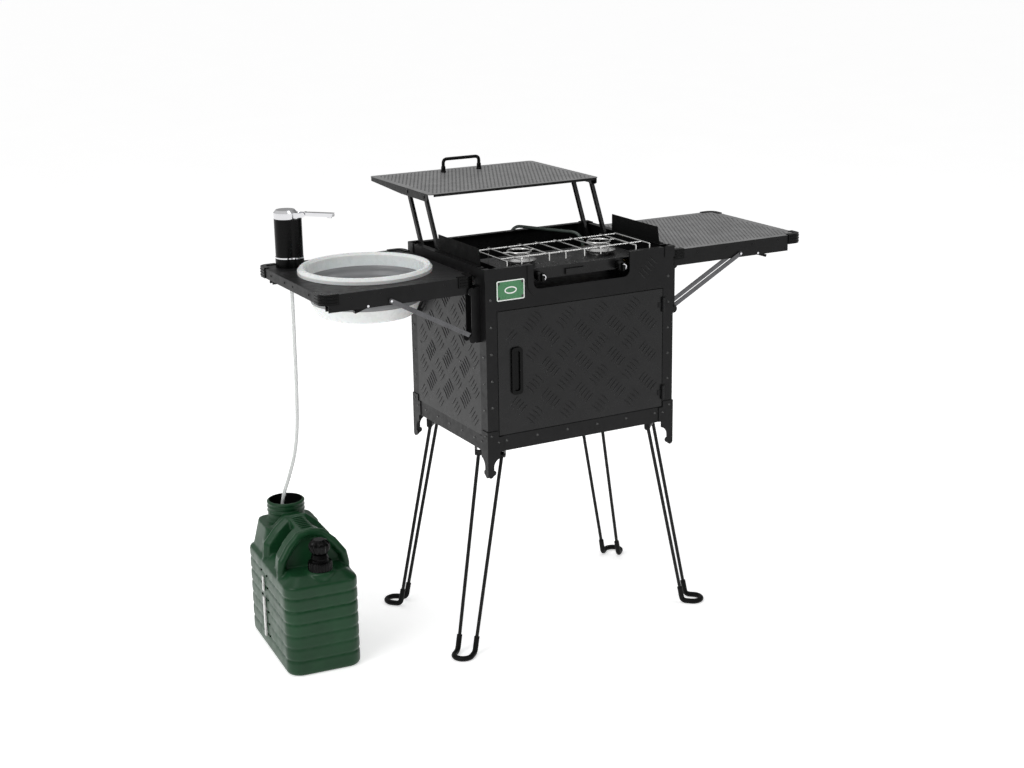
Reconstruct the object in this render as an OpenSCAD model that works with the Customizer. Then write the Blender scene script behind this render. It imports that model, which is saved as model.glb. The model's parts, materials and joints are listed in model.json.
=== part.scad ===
// Camp kitchen table: a steel cabinet on folding hairpin legs, with two fold-down
// side shelves, a swing-over rack, a two-burner stove, a collapsible basin,
// a pump tap and the water can that feeds it.
// Millimetres. +X to the user's right, +Y to the back, +Z up, floor at Z = 0.

/* [Cabinet] */
// Outside width of the cabinet
cab_w = 482; // [420:1:560]
// Outside depth of the cabinet
cab_d = 374; // [320:1:440]
// Height of the cabinet from its bottom rail to its top rail
cab_h = 409; // [340:1:480]
// Height of the cabinet's bottom rail above the floor
base_z = 472; // [400:1:560]
// Thickness of the folded sheet parts
sheet = 1.5; // [1:0.1:2.5]
// Height of the stove fascia above the door
fascia_h = 93; // [70:1:120]
// How far the corner claws hang below the cabinet
claw_h = 60; // [30:1:80]

/* [Door] */
// Gap all round the door
door_gap = 1.5; // [1:0.1:3]
// Depth of the door's folded edges
door_t = 14; // [8:1:20]

/* [Shelves] */
// Length of the left shelf, outwards from the cabinet
left_len = 350; // [300:1:400]
// Length of the right shelf, outwards from the cabinet
right_len = 374; // [300:1:400]
// Depth of both shelves, front to back
shelf_d = 360; // [300:1:400]
// Height of the shelf tops above the floor
shelf_z = 864; // [800:1:900]
// Thickness of the shelf edge
shelf_t = 21.5; // [16:0.5:30]

/* [Rack] */
// Width of the rack panel
rack_w = 449.8; // [400:0.1:470]
// Depth of the rack panel
rack_d = 328; // [250:1:360]
// Height of the rack's top when it is up
rack_z = 1000; // [950:1:1060]
// Length of the rack arms between their pivots
arm_len = 186; // [150:1:220]
// Backward lean of the raised arms, in degrees
arm_lean = 27; // [10:1:40]

/* [Legs] */
// Diameter of the leg rod
rod_d = 8; // [6:0.5:12]
// Diameter of the rubber foot sleeve
sleeve_d = 12.4; // [10:0.2:16]
// Distance between the two rods at the top of a leg
rod_gap_top = 54; // [40:1:70]
// Distance between the two rods at the foot
rod_gap_foot = 41; // [30:1:60]

/* [Basin and tap] */
// Outside diameter of the basin rim
basin_d = 294; // [260:1:310]
// Depth of the opened basin below the shelf top
basin_h = 94; // [60:1:120]
// How far the basin's bottom slides up as it collapses
basin_travel = 48; // [30:1:52]
// Height of the tap above the shelf
tap_h = 127; // [100:1:160]
// Outside diameter of the water hose
hose_d = 8; // [6:0.5:12]

/* [Water can] */
// Width of the water can
can_w = 172; // [150:1:200]
// Length of the water can
can_l = 326; // [280:1:360]
// Height of the water can's shoulder
can_h = 226; // [200:1:260]
// Turn of the water can on the floor, in degrees
can_turn = -5; // [-10:1:10]

/* [Hidden] */
$fn = 48;
top_z = base_z + cab_h;
hx = cab_w / 2;
hy = cab_d / 2;
post_fx = 27;
post_fy = 30;
rail_h = 35;
top_rail_h = 22;
rail_lip = 20;
top_lip = 15;
casting_t = 2;
casting_w = 37;
casting_h = 48;
rivet_r = 3.4;
rivet_h = 1.6;
knuckle = 1.03;
black = [0.1, 0.1, 0.1];
black_soft = [0.16, 0.16, 0.16];
plastic = [0.06, 0.06, 0.06];
chrome = [0.8, 0.8, 0.82];
zinc = [0.7, 0.7, 0.68];
brass = [0.72, 0.58, 0.3];
green = [0.07, 0.2, 0.11];
plate_green = [0.16, 0.42, 0.24];
white = [0.92, 0.93, 0.92];
basin_grey = [0.55, 0.56, 0.57];
clear_hose = [0.85, 0.87, 0.86];

// door and fascia
door_x = hx - post_fx - door_gap;
fascia_z = top_z - fascia_h;
door_z0 = base_z + rail_h + door_gap;
door_z1 = fascia_z - door_gap;
cut_x = 123;
cut_z = top_z - 55;
hinge_x = hx - post_fx - door_gap / 2;
hinge_y = -hy - 3.6;
hinge_r = 3.2;
hinge_pin_d = 2.4;
hinge_len = 33;
hinge_zs = [base_z + 54, base_z + 261];

// decks inside the cabinet
deck_floor_z = base_z + sheet;
deck_shelf_z = base_z + 187;
deck_stove_z = base_z + 328;

// stove
burner_x = 103;
burner_y = -95;
pan_x = 170;
pan_y0 = -168;
pan_y1 = -10;
pan_z = top_z - 17;
knob_z = top_z - 30;
knob_y = -173;
grate_z = top_z + 11;
grate_wire = 4;
grate_x = 182;
grate_y0 = -145;
grate_y1 = -35;
guard_x = 228.5;
guard_y = [-139, 54];
guard_top = top_z + 38;

// rack arms
arm_w = 12;
arm_x = [216, 222.9];
arm_y = [51, 139];
arm_z = top_z - 55;
rack_x = rack_w / 2;
rack_y0 = 106;
rack_pin_z = arm_z + arm_len * cos(arm_lean);
rack_pin_y = [for (y = arm_y) y + arm_len * sin(arm_lean)];
rack_flange = 18;
handle_x = 49;
handle_y = 385;
pivot_pin_d = 5.9;
pivot_bore_d = 6;

// shelves and their brackets
shelf_y0 = -157;
shelf_x0 = 252;
shelf_ym = shelf_y0 + shelf_d / 2;
shelf_bottom = shelf_z - shelf_t;
bracket_y = [-148, 170];
pivot_a = [262, base_z + 361];
pivot_b = [262, base_z + 263];
brace_pin = [448, base_z + 364];
brace_len = norm(brace_pin - pivot_b);
brace_lift = atan2(brace_pin[1] - pivot_b[1], brace_pin[0] - pivot_b[0]);
shelf_arm_w = 9;
brace_y = [10.2, 12.2];
ear_y = [12.8, 14.8];
shelf_arm_end = 588;
guard_grip = 40;
lever_pin = [500, base_z + 359];

// basin
basin_c = [-424, 26];
basin_r = basin_d / 2;
basin_hole_r = basin_r - 12;
basin_floor_z = shelf_z - basin_h;
base_wall_h = 30;

// tap
tap_c = [-549, 163];
stem_c = [-548, 150];
tap_dir = -45;
tap_r = 26;
lobe_r = 17;
lobe_s = 20;
spout_s = 45;
spout_z = shelf_z + tap_h - 9;
spout_len = 68;
spout_pin_d = 4;

// legs
leg_top = [212, 141, 455];
leg_foot = [298, 167];
sleeve_top_z = 42;
foot_kick = 20;
leg_bar_d = 12;
leg_bar_l = 62;
leg_pin_d = 6;
leg_signs = [[-1, -1], [1, -1], [-1, 1], [1, 1]];

// water can, in its own frame: X across, Y along
can_c = [-590.5, 66];
can_r = 24;
can_wall = 3;
can_mouth = [0, 110];
mouth_r = 44;
can_top = 320;
spigot = [6, -122];
rib_z = [34, 64, 93, 122, 151, 180];

// routes of the hoses
water_route = [
  [-548, 150, 849.7], [-548, 150, 820], [-547, 152, 760], [-546, 156, 700],
  [-545, 161, 600], [-547, 164, 500], [-556, 165, 430], [-573, 165, 375],
  [-588, 165, 335], [-595, 165, 295], [-599, 163, 240], [-600, 158, 160],
  [-599, 150, 90], [-597, 142, 30]
];
gas_route = [
  [130, 24, 858.9], [129, 26, 870.1], [126, 31.6, 879.6], [121.6, 40.1, 886],
  [116.4, 50.1, 888.2], [110.4, 61.8, 888.2], [98.2, 85.2, 888.2], [86, 108.6, 888.2],
  [73.9, 132.1, 888.2], [61.7, 155.5, 888.2], [49.6, 178.9, 888.2], [44.4, 188.9, 886],
  [40, 197.4, 879.6], [37, 203, 870.1], [36, 205, 858.9], [36, 205, 844.9],
  [36, 205, 826.4]
];

// everything is moved so that the origin is under the middle of the whole table
foot_out = rod_gap_foot / 2 + sleeve_d / 2;
foot_axis = [leg_foot[0] + foot_kick * cos(45), leg_foot[1] + foot_kick * sin(45)];
can_half_x = (can_w / 2 - can_r) * cos(can_turn) + (can_l / 2 - can_r) * abs(sin(can_turn)) + can_r;
x_low = can_c[0] - can_half_x;
x_high = shelf_x0 + right_len + 2.5;
y_low = -(foot_axis[1] + foot_out);
y_high = rack_y0 + rack_d;
shift = [-(x_low + x_high) / 2, -(y_low + y_high) / 2, 0];

// ---------- shared shapes ----------

// moves a part from the cabinet's centre line to the table's own origin
module placed() {
  translate(shift) children();
}

// a box given by its two opposite corners
module slab(p, q) {
  translate(p) cube(q - p);
}

// the same shape on both sides of the cabinet
module both_x() {
  children();
  mirror([1, 0, 0]) children();
}

// a straight round bar from p to q
module rod(p, q, d) {
  v = q - p;
  translate(p)
    rotate([0, acos(v[2] / norm(v)), atan2(v[1], v[0])])
      cylinder(d = d, h = norm(v));
}

// a bent wire through a list of points, with a knuckle a little thicker at each bend
module wire(points, d) {
  for (i = [0 : len(points) - 2]) rod(points[i], points[i + 1], d);
  for (i = [1 : len(points) - 2]) translate(points[i]) sphere(d = d * knuckle);
}

// a round bar along X, or along Y, centred on a point
module bar_x(c, d, l) {
  translate(c) rotate([0, 90, 0]) cylinder(d = d, h = l, center = true);
}
module bar_y(c, d, l) {
  translate(c) rotate([90, 0, 0]) cylinder(d = d, h = l, center = true);
}

// a flat rectangle with round corners, from its two opposite corners
module round_rect(p, q, r) {
  translate([p[0] + r, p[1]]) square([q[0] - p[0] - 2 * r, q[1] - p[1]]);
  translate([p[0], p[1] + r]) square([q[0] - p[0], q[1] - p[1] - 2 * r]);
  for (x = [p[0] + r, q[0] - r], y = [p[1] + r, q[1] - r]) translate([x, y]) circle(r = r);
}

// a flat shape stood up in the X-Z plane, with its front face at y0
module upright(y0, t) {
  translate([0, y0 + t, 0]) rotate([90, 0, 0]) linear_extrude(t) children();
}

// a flat shape stood up in the Y-Z plane, with its left face at x0
module sideways(x0, t) {
  translate([x0, 0, 0]) rotate([90, 0, 90]) linear_extrude(t) children();
}

// a low domed rivet head: on a face towards -Y, or towards -X, or upwards
module head_up(c, r = rivet_r, h = rivet_h) {
  translate(c) cylinder(r1 = r, r2 = r * 0.6, h = h, $fn = 20);
}
module head_front(c, r = rivet_r, h = rivet_h) {
  translate(c) rotate([90, 0, 0]) cylinder(r1 = r, r2 = r * 0.6, h = h, $fn = 20);
}
module head_back(c) {
  translate(c) rotate([-90, 0, 0]) cylinder(r1 = rivet_r, r2 = rivet_r * 0.6, h = rivet_h, $fn = 20);
}
module head_left(c, r = rivet_r, h = rivet_h) {
  translate(c) rotate([0, -90, 0]) cylinder(r1 = r, r2 = r * 0.6, h = h, $fn = 20);
}
module head_right(c, r = rivet_r, h = rivet_h) {
  translate(c) rotate([0, 90, 0]) cylinder(r1 = r, r2 = r * 0.6, h = h, $fn = 20);
}

// ---------- swept hoses ----------

// a smooth curve through four route points, at t from 0 to 1 between the middle two
function curve(a, b, c, d, t) =
  0.5 * (2 * b + (c - a) * t + (2 * a - 5 * b + 4 * c - d) * t * t
  + (3 * b - a - 3 * c + d) * t * t * t);
function at(p, i) = p[max(0, min(len(p) - 1, i))];
function smooth(p, n) = concat(
  [for (i = [0 : len(p) - 2], k = [0 : n - 1])
    curve(at(p, i - 1), p[i], p[i + 1], at(p, i + 2), k / n)],
  [p[len(p) - 1]]);
function unit(v) = v / norm(v);
function tangent(p, i) = unit(at(p, i + 1) - at(p, i - 1));
function side_of(t) = unit(cross(t, [0.31, 0.95, 0.05]));
function ring(p, i, r, n) =
  let (t = tangent(p, i), u = side_of(t), v = cross(t, u))
  [for (k = [0 : n - 1]) p[i] + r * (u * cos(360 * k / n) + v * sin(360 * k / n))];

// one closed tube along a list of points, with n sides
module tube_along(p, r, n) {
  m = len(p);
  points = [for (i = [0 : m - 1]) each ring(p, i, r, n)];
  walls = [for (i = [0 : m - 2], k = [0 : n - 1])
    [i * n + k, i * n + (k + 1) % n, (i + 1) * n + (k + 1) % n, (i + 1) * n + k]];
  start_cap = [[for (k = [0 : n - 1]) n - 1 - k]];
  end_cap = [[for (k = [0 : n - 1]) (m - 1) * n + k]];
  polyhedron(points, concat(walls, start_cap, end_cap), convexity = 4);
}

// ---------- cabinet ----------

// one angle post at the corner (-X, -Y)
module post() {
  slab([-hx, -hy, base_z], [-hx + post_fx, -hy + sheet, top_z]);
  slab([-hx, -hy, base_z], [-hx + sheet, -hy + post_fy, top_z]);
}

module corner_posts() placed() color(black) {
  for (mx = [0, 1], my = [0, 1]) mirror([mx, 0, 0]) mirror([0, my, 0]) post();
}

module bottom_rail(len_half, out) {
  slab([-len_half, -out, base_z], [len_half, -out + sheet, base_z + rail_h]);
  slab([-len_half, -out, base_z], [len_half, -out + rail_lip, base_z + sheet]);
}

module top_rail(len_half, out) {
  slab([-len_half, -out, top_z - top_rail_h], [len_half, -out + sheet, top_z]);
  slab([-len_half, -out, top_z - sheet], [len_half, -out + top_lip, top_z]);
}

module cabinet_rails() placed() color(black) {
  for (a = [0, 180]) rotate([0, 0, a]) bottom_rail(hx - post_fx, hy);
  for (a = [90, -90]) rotate([0, 0, a]) {
    bottom_rail(hy - post_fy, hx);
    top_rail(hy - post_fy, hx);
  }
  rotate([0, 0, 180]) top_rail(hx - post_fx, hy);
}

// one inside sheet with its edges turned down
module deck(z, y0, drop) {
  slab([-hx + sheet, y0, z], [hx - sheet, hy - sheet, z + sheet]);
  both_x() slab([-hx + sheet, y0, z - drop], [-hx + 2 * sheet, hy - sheet - 30, z]);
}

module decks() placed() color(black_soft) {
  slab([-hx + sheet, -hy + sheet, deck_floor_z], [hx - sheet, hy - sheet, deck_floor_z + sheet]);
  deck(deck_shelf_z, -165, 12);
  deck(deck_stove_z, -165, 12);
}

module cabinet_panels() placed() color(black_soft) {
  py = hy - post_fy;
  px = hx - post_fx;
  both_x() slab([-hx, -py, base_z + rail_h], [-hx + sheet, py, top_z - top_rail_h]);
  slab([-px, hy - sheet, base_z + rail_h], [px, hy, top_z - top_rail_h]);
}

// the opening for the stove's front, open at the top
module fascia_cut(grow) {
  round_rect([-cut_x - grow, cut_z - grow], [cut_x + grow, top_z + 40], 15 + grow);
}

module front_fascia() placed() color(black) {
  px = hx - post_fx;
  upright(-hy, sheet) difference() {
    translate([-px, fascia_z]) square([2 * px, fascia_h]);
    fascia_cut(0);
  }
  // raised border round the opening
  upright(-hy - 1.8, 1.8) difference() {
    intersection() {
      fascia_cut(15);
      translate([-px, fascia_z]) square([2 * px, fascia_h]);
    }
    fascia_cut(0);
  }
  slab([-px, -hy, fascia_z], [px, -hy + 12, fascia_z + sheet]);
  both_x() slab([-px, -hy, top_z - sheet], [-cut_x, -hy + top_lip, top_z]);
}

module name_plate() placed() color(plate_green) {
  upright(-hy - 1.5, 1.5) round_rect([-214, top_z - 71], [-146, top_z - 27], 3);
}

// a claw below the corner, as the outline of one face
module claw_outline() {
  difference() {
    union() {
      translate([0, -claw_h + 9]) square([15, claw_h - 9]);
      translate([0, -34]) square([casting_w - 6, 34]);
      translate([7, -claw_h + 9]) circle(r = 7);
      translate([12, -claw_h + 13]) circle(r = 7);
    }
    translate([15 + 20, -34]) circle(r = 20);
    translate([15, -80]) square([30, 46]);
  }
  translate([14, -claw_h + 13]) circle(r = 6);
}

// one bottom casting with its claw, at the corner (-X, -Y)
module corner_foot() {
  // a wide foot below the door and a narrower part above it
  for (c = [[casting_w, base_z, rail_h - 1], [26, base_z + rail_h - 1, casting_h - rail_h + 1]]) {
    slab([-hx - casting_t, -hy - casting_t, c[1]], [-hx + c[0], -hy, c[1] + c[2]]);
    slab([-hx - casting_t, -hy, c[1]], [-hx, -hy + c[0], c[1] + c[2]]);
  }
  translate([-hx - casting_t, -hy - casting_t, base_z]) {
    upright(0, 4) claw_outline();
    sideways(0, 4) claw_outline();
  }
}

// one top corner cap, at the corner (-X, -Y)
module corner_cap() {
  z0 = top_z - 23;
  slab([-hx - casting_t, -hy - casting_t, z0], [-hx + 24, -hy, top_z + 1.5]);
  slab([-hx - casting_t, -hy, z0], [-hx, -hy + 24, top_z + 1.5]);
  slab([-hx, -hy, top_z], [-hx + 12, -hy + 12, top_z + 1.5]);
}

module corner_castings() placed() color(black) {
  for (mx = [0, 1], my = [0, 1]) mirror([mx, 0, 0]) mirror([0, my, 0]) {
    corner_foot();
    corner_cap();
  }
}

module cabinet_rivets() placed() color(black) {
  post_z = [for (i = [1 : 5]) base_z + 42 + 60 * i];
  both_x() {
    // posts, front and back faces, and the corner castings
    for (z = post_z) head_front([-hx + 13, -hy, z]);
    for (z = post_z) head_back([-hx + 13, hy, z]);
    for (dy = [-1, 1], i = [0 : 2]) head_left([-hx, dy * (hy - 14), post_z[i] - 7]);
    for (c = [[8, 38], [26, 22]]) {
      head_front([-hx + c[0], -hy - casting_t, base_z + c[1]], 2.8);
      translate([0, hy + casting_t, 0]) head_back([-hx + c[0], 0, base_z + c[1]]);
      for (dy = [-1, 1]) head_left([-hx - casting_t, dy * (hy - c[0]), base_z + c[1]], 2.8);
    }
    // bottom side rails
    for (i = [0 : 4]) head_left([-hx, -122 + 61 * i, base_z + 20]);
    // screws that hold the inside shelf
    for (i = [0 : 4]) head_left([-hx, -128 + 67 * i, deck_shelf_z - 6]);
  }
  for (i = [-2.5 : 1 : 2.5]) {
    head_front([84.5 * i * 0.92, -hy, base_z + 23]);
    head_back([84.5 * i * 0.92, hy, base_z + 23]);
  }
  // name plate screws
  for (x = [-209, -151], z = [top_z - 65, top_z - 33]) head_front([x, -hy - 1.5, z], 3, 1.4);
}

// ---------- door ----------

module door_panel() placed() color(black_soft) {
  slab([-door_x, -hy, door_z0], [door_x, -hy + sheet, door_z1]);
  both_x() slab([-door_x, -hy, door_z0], [-door_x + sheet, -hy + door_t, door_z1]);
  for (z = [door_z0, door_z1 - sheet])
    slab([-door_x, -hy, z], [door_x, -hy + door_t, z + sheet]);
}

// a long pull with a finger slot
module door_handle() placed() color(plastic) {
  z = base_z + 178;
  difference() {
    upright(-hy - 5, 5) round_rect([-181, z - 53], [-154, z + 53], 8);
    upright(-hy - 6, 5) round_rect([-175, z - 45], [-161, z + 45], 5);
  }
}

module door_hinge_leaves() placed() color(black) {
  for (z = hinge_zs) difference() {
    union() {
      for (dz = [0, hinge_len * 2 / 3 + 0.3])
        translate([hinge_x, hinge_y, z + dz]) cylinder(r = hinge_r, h = hinge_len / 3 - 0.3);
      for (dz = [0, hinge_len * 2 / 3 + 0.3])
        slab([hinge_x, -hy - 1.2, z + dz], [hinge_x + 9, -hy, z + dz + hinge_len / 3 - 0.3]);
      slab([hinge_x + 4, -hy - 1.2, z], [hinge_x + 9, -hy, z + hinge_len]);
    }
    translate([hinge_x, hinge_y, z - 1]) cylinder(d = hinge_pin_d + 0.1, h = hinge_len + 2);
  }
}

module door_hinge_pins() placed() color(black) {
  for (z = hinge_zs) {
    translate([hinge_x, hinge_y, z - 1.5]) cylinder(d = hinge_pin_d, h = hinge_len + 3);
    translate([hinge_x, hinge_y, z + hinge_len / 3]) cylinder(r = hinge_r, h = hinge_len / 3);
    slab([hinge_x - 13, -hy - 1.2, z + hinge_len / 3], [hinge_x, -hy, z + hinge_len * 2 / 3]);
  }
}

// ---------- stove ----------

module wind_guards() placed() color(black) {
  both_x() {
    sideways(guard_x, sheet) polygon([
      [guard_y[0] - 8, top_z], [guard_y[1], top_z],
      [guard_y[1], guard_top], [guard_y[0], guard_top]
    ]);
    slab([guard_x, guard_y[0] - 8, top_z], [hx - 1, guard_y[1], top_z + sheet]);
  }
}

module stove_pan() placed() color(black_soft) {
  difference() {
    union() {
      slab([-pan_x, pan_y0, pan_z], [pan_x, pan_y1, pan_z + sheet]);
      both_x() slab([-pan_x, pan_y0, deck_stove_z + sheet], [-pan_x + sheet, pan_y1, pan_z]);
      // front plate that the valve stems come through
      slab([-118, pan_y0 - sheet, pan_z - 22], [118, pan_y0, pan_z + 3]);
    }
    both_x() {
      translate([burner_x, burner_y, pan_z - 1]) cylinder(r = 15, h = 4);
      bar_y([burner_x, pan_y0, knob_z], 9, 10);
    }
  }
  // clamp in the middle of the front plate
  slab([-33, pan_y0 - sheet - 5, pan_z - 18], [15, pan_y0 - sheet, pan_z - 6]);
}

// one burner: a hollow head on a throat with its mixing tube
module burner() {
  difference() {
    union() {
      translate([0, 0, pan_z - 24]) cylinder(r = 14, h = 25);
      translate([0, 0, pan_z + sheet]) cylinder(r = 24, h = 4);
      translate([0, 0, pan_z + sheet + 4]) cylinder(r1 = 33, r2 = 35, h = 5);
      translate([0, 0, pan_z + sheet + 9]) cylinder(r1 = 35, r2 = 22, h = 3.5);
      translate([0, 0, pan_z]) cylinder(r = 14, h = 4);
    }
    translate([0, 0, pan_z + 6]) cylinder(r1 = 8, r2 = 14, h = 14);
  }
  rod([0, 0, knob_z - 3], [0, -50, knob_z - 3], 14);
}

module burners() placed() color(chrome) {
  for (s = [-1, 1]) translate([s * burner_x, burner_y, 0]) burner();
}

// valves, the pipe that joins them and the two hose tails
module gas_fittings() placed() color(brass) {
  vy = pan_y0;
  for (s = [-1, 1]) {
    slab([s * burner_x - 8, vy, knob_z - 8], [s * burner_x + 8, burner_y - 50, knob_z + 8]);
    bar_y([s * burner_x, vy - 8, knob_z], 6, 16);
  }
  rod([-burner_x, vy + 11, knob_z - 2], [130, vy + 11, knob_z - 2], 8);
  wire([[130, vy + 11, knob_z - 2], [150, vy + 11, knob_z - 2], [150, 24, knob_z - 2],
    [130, 24, knob_z - 2], [130, 24, 858]], 8);
  // outlet on the back panel
  difference() {
    translate([36, 205, 800]) cylinder(d = 9, h = 26);
    translate([36, 205, 799]) cylinder(d = 4, h = 10);
  }
  slab([28, hy, 802], [44, 201, 818]);
}

module gas_hose() placed() color([0.25, 0.33, 0.29]) {
  tube_along(smooth(gas_route, 3), 3.75, 10);
}

module knob(x) {
  difference() {
    union() {
      bar_y([x, knob_y - 9, knob_z], 20, 18);
      slab([x - 2.5, knob_y - 23, knob_z - 9.5], [x + 2.5, knob_y - 17, knob_z + 9.5]);
    }
    bar_y([x, knob_y - 5.5, knob_z], 6.1, 13);
  }
}

module knob_left() placed() color(plastic) knob(-burner_x);
module knob_right() placed() color(plastic) knob(burner_x);

module grate() placed() color(chrome) {
  w = grate_wire;
  bar = w - 0.6;
  rail_z = grate_z - 1.2;
  front = grate_y0 - 33;
  ring_z = grate_z - 0.5;
  ring_r = 26;
  ring_y = (grate_y0 + grate_y1) / 2;
  // two long rails
  for (y = [grate_y0, grate_y1]) rod([-grate_x - 1, y, rail_z], [grate_x + 1, y, rail_z], w);
  for (s = [-1, 1]) {
    // end wires, with front feet on the fascia
    wire([[s * grate_x, grate_y1 + 3, grate_z], [s * grate_x, front, grate_z],
      [s * grate_x, front, top_z + 0.3]], bar);
    // inner wires, with their back ends turned down as well
    wire([[s * 146, grate_y1 + 10, grate_z - 24], [s * 146, grate_y1 + 10, grate_z],
      [s * 146, front, grate_z], [s * 146, front, top_z + 0.3]], bar);
    // straight wires between the burners, hooked at both ends
    for (x = [24, 66])
      wire([[s * x, grate_y1 + 10, grate_z - 6], [s * x, grate_y1 + 10, grate_z],
        [s * x, grate_y0 - 13, grate_z], [s * x, grate_y0 - 13, grate_z - 14]], bar);
    // ring over each burner, with four short spokes
    translate([s * burner_x, ring_y, ring_z])
      rotate_extrude() translate([ring_r, 0]) circle(d = w, $fn = 20);
    for (y = [grate_y0, grate_y1]) {
      inner = ring_y + sign(y - ring_y) * ring_r;
      rod([s * burner_x, y, ring_z], [s * burner_x, inner, ring_z], bar - 0.4);
    }
    for (x = [66, 146]) {
      inner = burner_x + sign(x - burner_x) * ring_r;
      rod([s * x, ring_y, ring_z], [s * inner, ring_y, ring_z], bar - 0.4);
    }
  }
}

// ---------- rack ----------

module rack_brackets() placed() color(black) {
  both_x() {
    sideways(-228, 3) round_rect([arm_y[0] - 14, arm_z - 11], [arm_y[1] + 14, arm_z + 11], 8);
    for (y = arm_y) {
      bar_x([-219.5, y, arm_z], pivot_pin_d, 11);
      bar_x([-(228 + hx - sheet) / 2, y, arm_z], 12, hx - sheet - 228);
    }
  }
}

// one flat arm on the left side, from its foot pivot to the rack
module rack_arm(y0) {
  y1 = y0 + arm_len * sin(arm_lean);
  w = arm_x[1] - arm_x[0];
  groove = 2.5;
  difference() {
    sideways(-arm_x[1], w) difference() {
      union() {
        translate([y0, arm_z]) circle(d = arm_w);
        translate([y1, rack_pin_z]) circle(d = arm_w);
        translate([y0, arm_z]) rotate(-arm_lean) translate([0.4 - arm_w / 2, 0])
          square([arm_w - 0.8, arm_len]);
      }
      translate([y0, arm_z]) circle(d = pivot_bore_d);
      translate([y1, rack_pin_z]) circle(d = pivot_bore_d);
    }
    // groove along the inner face
    sideways(-arm_x[0] - groove, groove + 1) translate([y0, arm_z]) rotate(-arm_lean)
      translate([-3.5, 12]) square([7, arm_len - 24]);
  }
}

module rack_arms_front() placed() color(black) both_x() rack_arm(arm_y[0]);
module rack_arms_rear() placed() color(black) both_x() rack_arm(arm_y[1]);

module rack_panel() placed() color(black_soft) {
  y1 = rack_y0 + rack_d;
  translate([0, 0, rack_z - sheet]) linear_extrude(sheet) difference() {
    round_rect([-rack_x, rack_y0], [rack_x, y1], 10);
    for (s = [-1, 1]) translate([s * handle_x, handle_y]) circle(r = 6.6);
  }
  for (y = [rack_y0, y1 - sheet])
    slab([-rack_x + 12, y, rack_z - 4], [rack_x - 12, y + sheet, rack_z]);
  both_x() {
    sideways(-rack_x, sheet) polygon([
      [rack_y0 + 10, rack_z - sheet], [rack_y0 + 10, rack_z - 14],
      [rack_y0 + 16, rack_z - rack_flange], [rack_y0 + 150, rack_z - rack_flange],
      [y1 - 10, rack_z - 10], [y1 - 10, rack_z - sheet]
    ]);
    for (y = rack_pin_y) {
      bar_x([-rack_x + 5.5, y, rack_pin_z], pivot_pin_d, 9);
      head_left([-rack_x, y, rack_pin_z], 4.5, 1.5);
    }
  }
}

module rack_handle() placed() color(plastic) {
  x = handle_x;
  y = handle_y;
  for (s = [-1, 1]) translate([s * x, y, rack_z - sheet]) cylinder(r = 6.5, h = 15 + sheet);
  wire([[-x, y, rack_z + 14], [-x, y, rack_z + 24], [-x + 3, y, rack_z + 30],
    [-x + 10, y, rack_z + 33], [x - 10, y, rack_z + 33], [x - 3, y, rack_z + 30],
    [x, y, rack_z + 24], [x, y, rack_z + 14]], 6.2);
}

// ---------- shelves, as on the right side ----------

module shelf_outline(l, grow = 0) {
  round_rect([shelf_x0 - grow, shelf_y0 - grow],
    [shelf_x0 + l + grow, shelf_y0 + shelf_d + grow], max(2, 18 + grow));
}

// the part of each corner guard that laps over the top
module guard_lip(l, gap = 0) {
  x1 = shelf_x0 + l;
  y1 = shelf_y0 + shelf_d;
  size = guard_grip + gap;
  intersection() {
    difference() {
      shelf_outline(l, 2.5);
      shelf_outline(l, -10 - gap);
    }
    for (cx = [shelf_x0 - 2.5, x1 + 2.5 - size], cy = [shelf_y0 - 2.5, y1 + 2.5 - size])
      translate([cx, cy]) square(size);
  }
}

// the sheet is notched for the guards
module shelf_top(l) {
  translate([0, 0, shelf_z - sheet]) linear_extrude(sheet) difference() {
    shelf_outline(l);
    guard_lip(l, 0.2);
  }
}

// edge channel: an outside wall and a lip turned in at the bottom
module shelf_frame(l) {
  h = shelf_t - sheet;
  translate([0, 0, shelf_bottom]) {
    linear_extrude(h) difference() {
      shelf_outline(l);
      shelf_outline(l, -2);
    }
    linear_extrude(2) difference() {
      shelf_outline(l);
      shelf_outline(l, -26);
    }
  }
  x1 = shelf_x0 + l;
  y1 = shelf_y0 + shelf_d;
  zr = shelf_bottom + 11;
  // rivets along the front, back and outer edges
  for (t = [0.2, 0.42, 0.62, 0.82]) {
    head_front([shelf_x0 + t * l, shelf_y0, zr], 3, 1.5);
    head_back([shelf_x0 + t * l, y1, zr]);
  }
  for (t = [0.2, 0.45, 0.58, 0.8]) head_right([x1, shelf_y0 + t * shelf_d, zr], 3, 1.5);
}

// the four corner guards: a strip round the edge and a lip over the top
module shelf_guard(l) {
  x1 = shelf_x0 + l;
  y1 = shelf_y0 + shelf_d;
  grip = guard_grip;
  translate([0, 0, shelf_bottom]) linear_extrude(shelf_t) intersection() {
    difference() {
      shelf_outline(l, 2.5);
      shelf_outline(l);
    }
    for (cx = [shelf_x0 - 2.5, x1 + 2.5 - grip], cy = [shelf_y0 - 2.5, y1 + 2.5 - grip])
      translate([cx, cy]) square(grip);
  }
  translate([0, 0, shelf_z - sheet]) linear_extrude(sheet + 1.8) guard_lip(l);
}

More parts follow.
